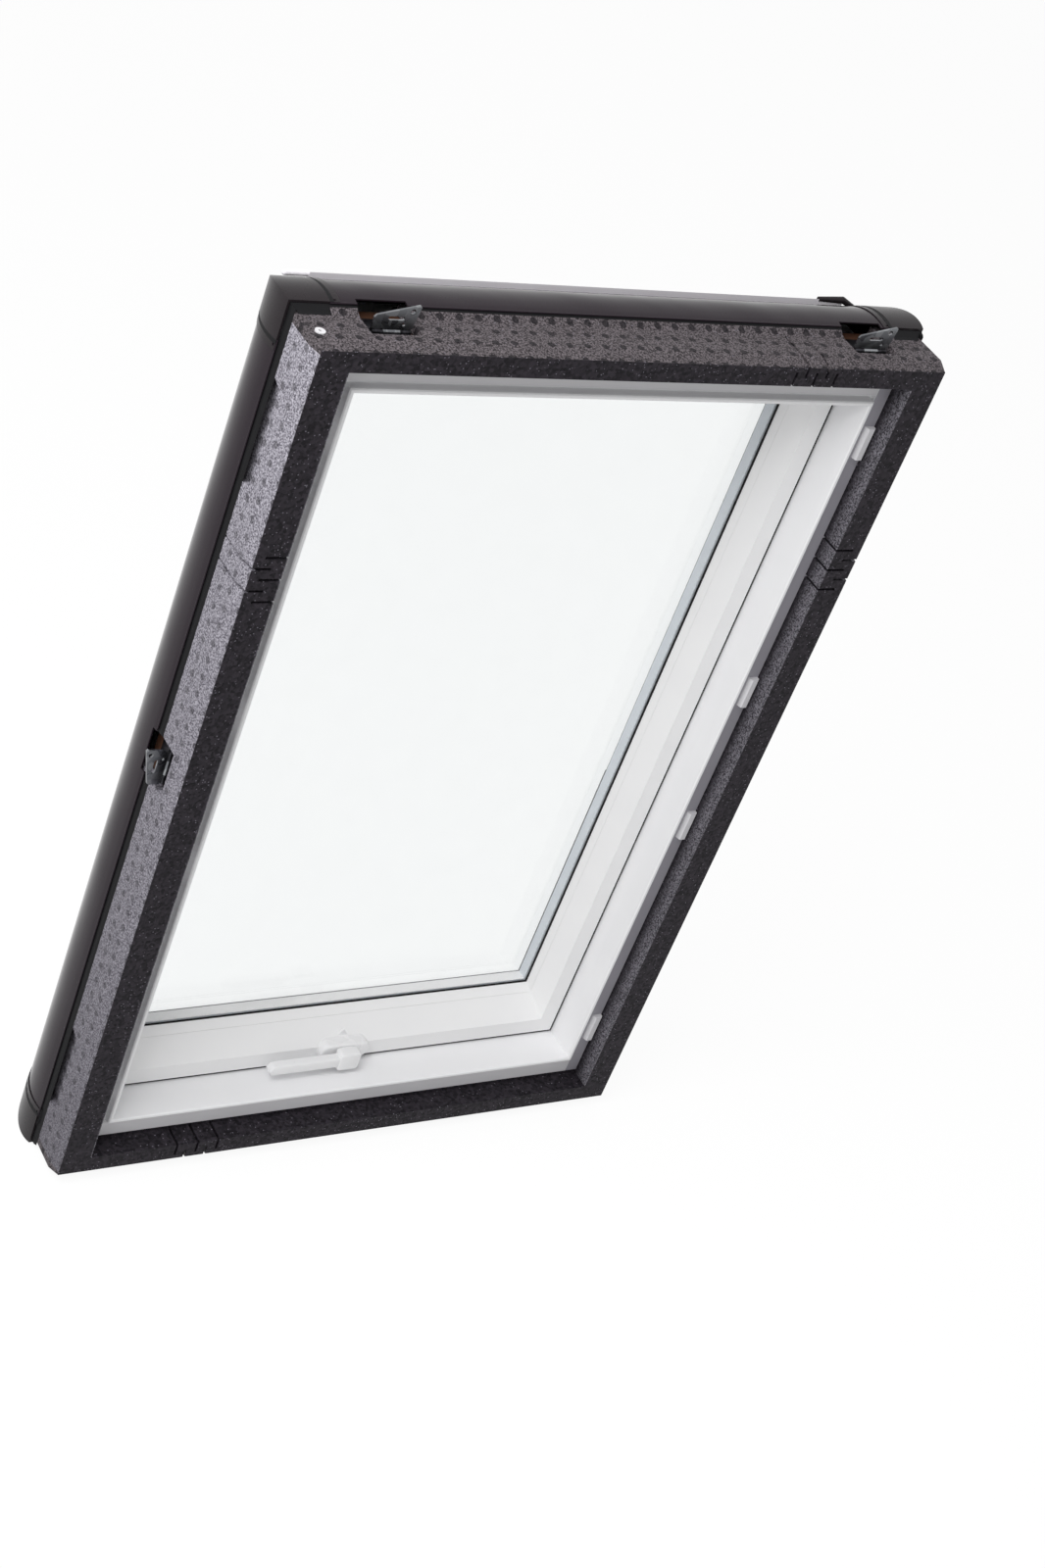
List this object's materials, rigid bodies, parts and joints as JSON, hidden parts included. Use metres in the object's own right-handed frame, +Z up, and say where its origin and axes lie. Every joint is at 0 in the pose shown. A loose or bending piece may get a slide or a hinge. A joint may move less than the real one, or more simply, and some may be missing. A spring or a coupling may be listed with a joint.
{
  "type": "roof window",
  "caption": "Centre-pivot roof window: white sash and frame with a lever at the bottom rail, an insulating foam surround, fold-out fixing brackets and a dark cladding collar.",
  "frame": {"origin": "midway between the screw holes of the two side brackets, on the face of the plates that meets the roof timber", "axes": "+X to the right as seen from the room, +Y out through the roof, +Z up the slope"},
  "size_m": [0.9148, 0.1659, 1.2904],
  "materials": {
    "foam": "graphite bead foam with pale flecks",
    "clip_plastic": "plain moulded",
    "white_frame": "satin white extruded profile",
    "white_sash": "satin white extruded profile",
    "handle_white": "white powder coat",
    "glass": "clear float glass",
    "spacer": "dull grey",
    "black_rubber": "matt extruded seal",
    "zinc_steel": "galvanised sheet",
    "dark_steel": "black coated sheet",
    "brown_plastic": "plain moulded",
    "cladding": "glossy brown-grey coat on roll-formed sheet",
    "cap_plastic": "glossy moulded, matched to the cladding"
  },
  "bodies": {
    "window_frame": {"bracket_bases": "dark_steel", "bracket_inserts": "brown_plastic", "collar_band_bottom": "cladding", "collar_band_left": "cladding", "collar_band_right": "cladding", "collar_band_top": "cladding", "collar_cap_bottom_left": "cap_plastic", "collar_cap_bottom_right": "cap_plastic", "collar_cap_top_left": "cap_plastic", "collar_cap_top_right": "cap_plastic", "collar_skirt": "black_rubber", "collar_straps": "cap_plastic", "foam_bottom": "foam", "foam_left": "foam", "foam_right": "foam", "foam_rivet": "clip_plastic", "foam_top": "foam", "frame_bottom": "white_frame", "frame_left": "white_frame", "frame_pivot_left": "zinc_steel", "frame_pivot_right": "zinc_steel", "frame_right": "white_frame", "frame_top": "white_frame", "hood": "cladding", "lining_clips": "clip_plastic", "lock_keeps": "zinc_steel", "pivot_caps": "cap_plastic", "upper_covers": "cladding"},
    "sash": {"bead_bottom": "white_sash", "bead_left": "white_sash", "bead_right": "white_sash", "bead_top": "white_sash", "catch_wedge": "handle_white", "handle_rosette": "handle_white", "inner_glazing_seal": "black_rubber", "inner_pane": "glass", "lock_faceplate": "zinc_steel", "lock_gearbox": "zinc_steel", "outer_glazing_seal": "black_rubber", "outer_pane": "glass", "pane_spacer": "spacer", "sash_bottom": "white_sash", "sash_cover_lower_bottom": "cladding", "sash_cover_lower_left": "cladding", "sash_cover_lower_right": "cladding", "sash_cover_upper": "cladding", "sash_edge_seal": "black_rubber", "sash_left": "white_sash", "sash_pivot_left": "zinc_steel", "sash_pivot_right": "zinc_steel", "sash_right": "white_sash", "sash_top": "white_sash"},
    "handle": {"handle_lever": "handle_white", "handle_spindle": "zinc_steel"},
    "lock_rod": {"drive_rod": "zinc_steel"},
    "bracket_top_left": {"bracket_plate_top_left": "zinc_steel"},
    "bracket_top_right": {"bracket_plate_top_right": "zinc_steel"},
    "bracket_left": {"bracket_plate_left": "zinc_steel"},
    "bracket_right": {"bracket_plate_right": "zinc_steel"}
  },
  "joints": [
    {"name": "sash_pivot", "type": "hinge", "parent": "window_frame", "child": "sash", "pos_m": [0, 0.068, -0.046], "axis": [1, 0, 0], "range_deg": [0, 135]},
    {"name": "handle_turn", "type": "hinge", "parent": "sash", "child": "handle", "pos_m": [0, 0, -0.5765], "axis": [0, 1, 0], "range_deg": [0, 90]},
    {"name": "rod_slide", "type": "slide", "parent": "sash", "child": "lock_rod", "axis": [1, 0, 0], "range_m": [0, 0.018]},
    {"name": "bracket_fold_top_left", "type": "hinge", "parent": "window_frame", "child": "bracket_top_left", "pos_m": [-0.322, 0.00125, 0.573], "axis": [-1, 0, 0], "range_deg": [0, 90]},
    {"name": "bracket_fold_top_right", "type": "hinge", "parent": "window_frame", "child": "bracket_top_right", "pos_m": [0.338, 0.00125, 0.573], "axis": [-1, 0, 0], "range_deg": [0, 90]},
    {"name": "bracket_fold_left", "type": "hinge", "parent": "window_frame", "child": "bracket_left", "pos_m": [-0.424, 0.00125, -0.0195], "axis": [0, 0, -1], "range_deg": [0, 90]},
    {"name": "bracket_fold_right", "type": "hinge", "parent": "window_frame", "child": "bracket_right", "pos_m": [0.424, 0.00125, -0.0195], "axis": [0, 0, 1], "range_deg": [0, 90]}
  ],
  "couplings": [
    {"joint": "rod_slide", "follows": "handle_turn", "m_per_rad": 0.011459}
  ]
}
